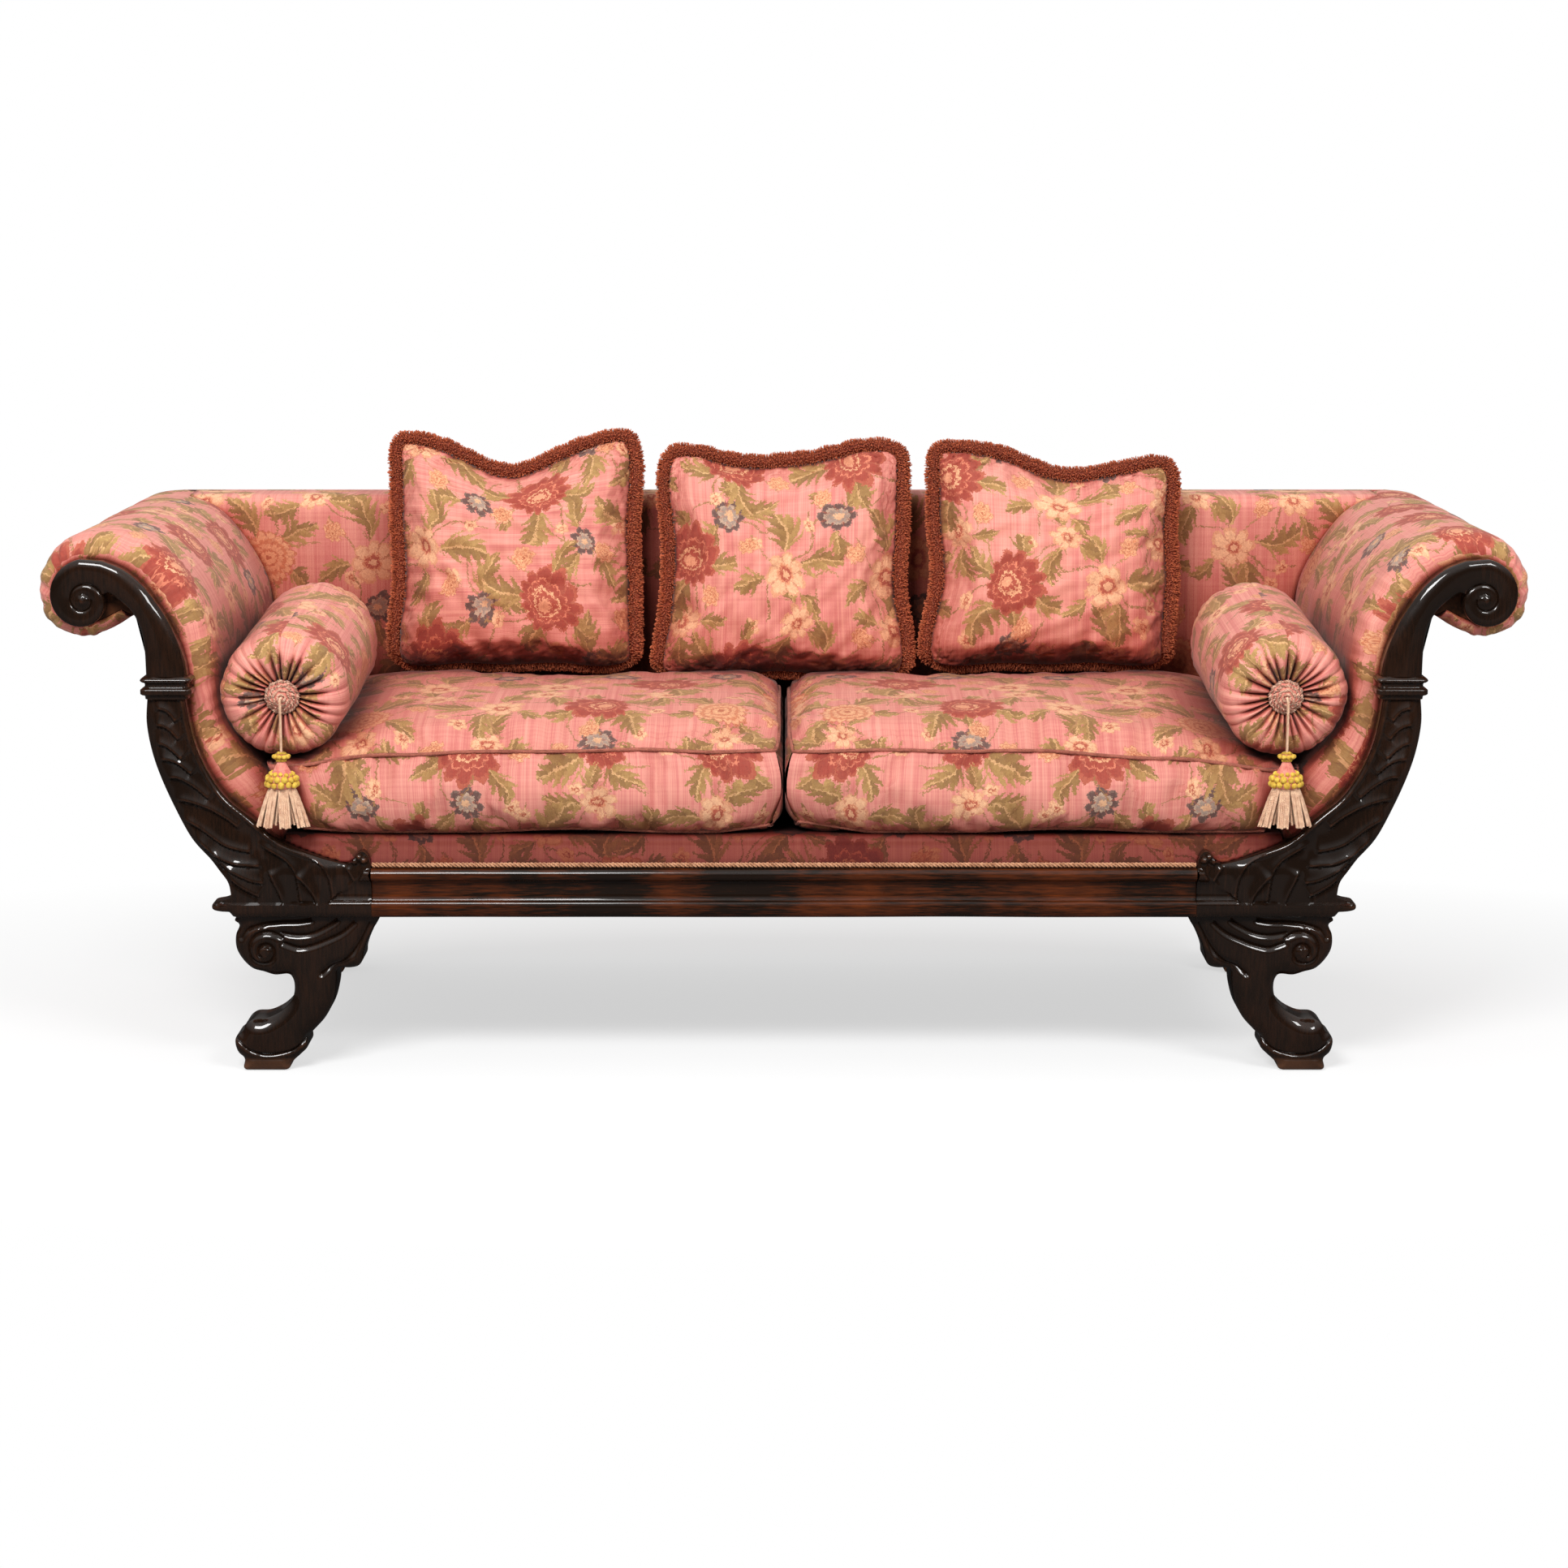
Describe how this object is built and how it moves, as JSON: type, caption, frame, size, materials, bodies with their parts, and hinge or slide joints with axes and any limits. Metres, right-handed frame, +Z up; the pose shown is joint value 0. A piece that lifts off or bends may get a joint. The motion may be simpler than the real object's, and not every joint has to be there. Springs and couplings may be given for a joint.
{
  "type": "scroll arm sofa",
  "caption": "Sofa with rolled upholstered arms behind carved scroll facings, a straight upholstered back, scroll legs, loose seat cushions, fringed pillows and tasselled bolsters.",
  "frame": {"origin": "on the floor, under the middle of the sofa", "axes": "+X to the right as a viewer in front sees it, +Y to the back, +Z up"},
  "size_m": [2.2972, 0.7379, 0.9575],
  "materials": {
    "show_wood": "dark, gloss",
    "frame_wood": "plain, unpolished",
    "floral_cloth": "salmon pink woven cloth with a floral pattern",
    "fringe_yarn": "cut pile",
    "tassel_yarn": "twisted yarn",
    "gold_yarn": "looped yarn",
    "jute_webbing": "woven",
    "spring_wire": "plain wire",
    "black_cloth": "matt"
  },
  "bodies": {
    "frame": {"arm_collar_left": "show_wood", "arm_collar_right": "show_wood", "arm_front_board_left": "frame_wood", "arm_front_board_right": "frame_wood", "arm_outside_cover_left": "floral_cloth", "arm_outside_cover_right": "floral_cloth", "arm_pad_left": "floral_cloth", "arm_pad_right": "floral_cloth", "arm_rear_board_left": "frame_wood", "arm_rear_board_right": "frame_wood", "arm_roll_core_left": "frame_wood", "arm_roll_core_right": "frame_wood", "arm_scroll_left": "show_wood", "arm_scroll_right": "show_wood", "arm_stump_left": "show_wood", "arm_stump_right": "show_wood", "arm_tack_rail_left": "frame_wood", "arm_tack_rail_right": "frame_wood", "back_pad": "floral_cloth", "back_rail": "frame_wood", "back_stile": "frame_wood", "back_top_rail": "frame_wood", "dust_cover": "black_cloth", "front_rail": "frame_wood", "glue_block_front_left": "frame_wood", "glue_block_front_right": "frame_wood", "glue_block_rear_left": "frame_wood", "glue_block_rear_right": "frame_wood", "leg_front_left": "show_wood", "leg_front_right": "show_wood", "leg_rear_left": "show_wood", "leg_rear_right": "show_wood", "outside_back": "floral_cloth", "rail_gimp": "tassel_yarn", "rail_moulding": "show_wood", "seat_platform": "floral_cloth", "seat_springs": "spring_wire", "seat_webbing": "jute_webbing", "side_rail_left": "show_wood", "side_rail_right": "show_wood"},
    "seat_cushion_left": {"seat_cushion_left": "floral_cloth"},
    "bolster_left": {"bolster_left": "floral_cloth", "rosette_front_left": "tassel_yarn", "rosette_rear_left": "tassel_yarn"},
    "tassel_left": {"tassel_cord_left": "tassel_yarn", "tassel_head_left": "gold_yarn", "tassel_skirt_left": "tassel_yarn"},
    "seat_cushion_right": {"seat_cushion_right": "floral_cloth"},
    "bolster_right": {"bolster_right": "floral_cloth", "rosette_front_right": "tassel_yarn", "rosette_rear_right": "tassel_yarn"},
    "tassel_right": {"tassel_cord_right": "tassel_yarn", "tassel_head_right": "gold_yarn", "tassel_skirt_right": "tassel_yarn"},
    "pillow_left": {"pillow_left": "floral_cloth", "pillow_left_fringe": "fringe_yarn"},
    "pillow_centre": {"pillow_centre": "floral_cloth", "pillow_centre_fringe": "fringe_yarn"},
    "pillow_right": {"pillow_right": "floral_cloth", "pillow_right_fringe": "fringe_yarn"}
  },
  "joints": [
    {"name": "seat_cushion_left_pulls_out", "type": "slide", "parent": "frame", "child": "seat_cushion_left", "axis": [0, -1, 0], "range_m": [0, 0.62]},
    {"name": "pillow_left_lifts", "type": "slide", "parent": "seat_cushion_left", "child": "pillow_left", "axis": [0, 0, 1], "range_m": [0, 0.45]},
    {"name": "bolster_left_lifts", "type": "slide", "parent": "seat_cushion_left", "child": "bolster_left", "axis": [0, 0, 1], "range_m": [0, 0.4]},
    {"name": "tassel_left_swings", "type": "hinge", "parent": "bolster_left", "child": "tassel_left", "pos_m": [-0.773, -0.344, 0.5927], "axis": [-1, 0, 0], "range_deg": [0, 60]},
    {"name": "seat_cushion_right_pulls_out", "type": "slide", "parent": "frame", "child": "seat_cushion_right", "axis": [0, -1, 0], "range_m": [0, 0.62]},
    {"name": "pillow_right_lifts", "type": "slide", "parent": "seat_cushion_right", "child": "pillow_right", "axis": [0, 0, 1], "range_m": [0, 0.45]},
    {"name": "bolster_right_lifts", "type": "slide", "parent": "seat_cushion_right", "child": "bolster_right", "axis": [0, 0, 1], "range_m": [0, 0.4]},
    {"name": "tassel_right_swings", "type": "hinge", "parent": "bolster_right", "child": "tassel_right", "pos_m": [0.773, -0.344, 0.5927], "axis": [-1, 0, 0], "range_deg": [0, 60]},
    {"name": "pillow_centre_lifts", "type": "slide", "parent": "frame", "child": "pillow_centre", "axis": [0, 0, 1], "range_m": [0, 0.45]}
  ]
}
